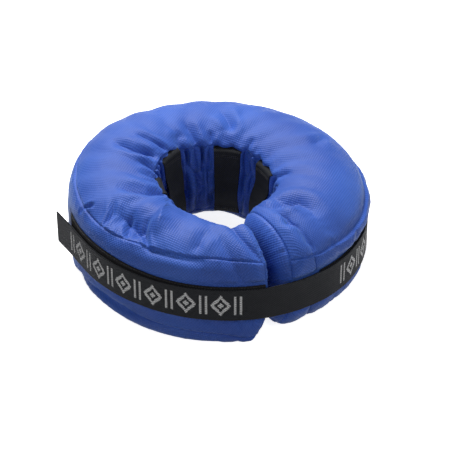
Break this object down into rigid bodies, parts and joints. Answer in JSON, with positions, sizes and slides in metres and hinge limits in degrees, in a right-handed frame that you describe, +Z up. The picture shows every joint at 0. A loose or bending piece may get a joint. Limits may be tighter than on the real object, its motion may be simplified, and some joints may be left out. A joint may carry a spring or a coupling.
{
  "type": "inflatable recovery collar",
  "caption": "Soft inflatable ring collar for a pet: a C-shaped air bladder in a fabric cover, closed round the neck by a hook-and-loop webbing strap.",
  "frame": {"origin": "on the axis of the neck opening, in the plane of the surface the collar lies on", "axes": "+Z up along the axis of the neck opening, -Y towards the split at the front, +Y towards the back where the ring bends open"},
  "size_m": [0.324, 0.3185, 0.108],
  "materials": {
    "cover_fabric": "woven nylon with a slight sheen",
    "bladder_film": "translucent vinyl film",
    "loop_webbing": "black woven webbing",
    "strap_webbing": "black woven webbing with a light motif",
    "loop_pile": "brushed loop pile",
    "hook_tape": "moulded hooks",
    "valve_vinyl": "soft moulded vinyl",
    "zip_tape": "woven tape",
    "zip_coil": "nylon coil",
    "zip_metal": "black enamel"
  },
  "bodies": {
    "left": {"left_top_panel": "cover_fabric", "left_outer_wall": "cover_fabric", "left_neck_wall": "cover_fabric", "left_bottom_panel": "cover_fabric", "left_end_panel": "cover_fabric", "left_bladder": "bladder_film", "left_back_loop": "loop_webbing", "left_side_loop": "loop_webbing", "loop_pad": "loop_pile", "valve_sleeve": "valve_vinyl"},
    "right": {"right_top_panel": "cover_fabric", "right_outer_wall": "cover_fabric", "right_neck_wall": "cover_fabric", "right_bottom_panel": "cover_fabric", "right_end_panel": "cover_fabric", "right_bladder": "bladder_film", "right_back_loop": "loop_webbing", "right_side_loop": "loop_webbing", "strap_anchor": "strap_webbing", "zip_upper_tape": "zip_tape", "zip_lower_tape": "zip_tape", "zip_upper_coil": "zip_coil", "zip_lower_coil": "zip_coil", "zip_end_stops": "zip_metal"},
    "strap_front": {"strap_front": "strap_webbing"},
    "strap_middle": {"strap_middle": "strap_webbing"},
    "strap_tail": {"strap_tail": "strap_webbing", "hook_patch": "hook_tape"},
    "valve_stem": {"valve_stem": "valve_vinyl", "check_flap": "valve_vinyl"},
    "valve_plug": {"valve_plug": "valve_vinyl"},
    "zip_slider": {"zip_slider": "zip_metal"},
    "zip_pull": {"zip_pull": "zip_metal"}
  },
  "joints": [
    {"name": "ring_open", "type": "hinge", "parent": "left", "child": "right", "pos_m": [0, 0.155, 0.05], "axis": [0, 0, 1], "range_deg": [0, 30], "stiffness_Nm_per_rad": 3},
    {"name": "strap_peel_front", "type": "hinge", "parent": "right", "child": "strap_front", "pos_m": [0.04115, -0.15358, 0.045], "axis": [0, 0, 1], "range_deg": [0, 31]},
    {"name": "strap_peel_middle", "type": "hinge", "parent": "strap_front", "child": "strap_middle", "pos_m": [-0.05956, -0.14742, 0.045], "axis": [0, 0, 1], "range_deg": [0, 31]},
    {"name": "strap_peel_tail", "type": "hinge", "parent": "strap_middle", "child": "strap_tail", "pos_m": [-0.13629, -0.08189, 0.045], "axis": [0, 0, 1], "range_deg": [0, 31]},
    {"name": "valve_extend", "type": "slide", "parent": "left", "child": "valve_stem", "axis": [-0.5736, 0.8192, 0], "range_m": [0, 0.008]},
    {"name": "valve_plug_open", "type": "hinge", "parent": "valve_stem", "child": "valve_plug", "pos_m": [-0.08868, 0.12664, 0.0554], "axis": [0.8192, 0.5736, 0], "range_deg": [0, 135]},
    {"name": "zip_run", "type": "hinge", "parent": "right", "child": "zip_slider", "pos_m": [0, 0, 0.024], "axis": [0, 0, 1], "range_deg": [-62, 0]},
    {"name": "zip_pull_swing", "type": "hinge", "parent": "zip_slider", "child": "zip_pull", "pos_m": [0.03062, 0.15755, 0.024], "axis": [0.9816, -0.1908, 0], "range_deg": [-10, 110]}
  ],
  "couplings": [
    {"joint": "strap_peel_front", "follows": "ring_open", "ratio": 1},
    {"joint": "strap_peel_middle", "follows": "ring_open", "ratio": 1},
    {"joint": "strap_peel_tail", "follows": "ring_open", "ratio": 1}
  ]
}
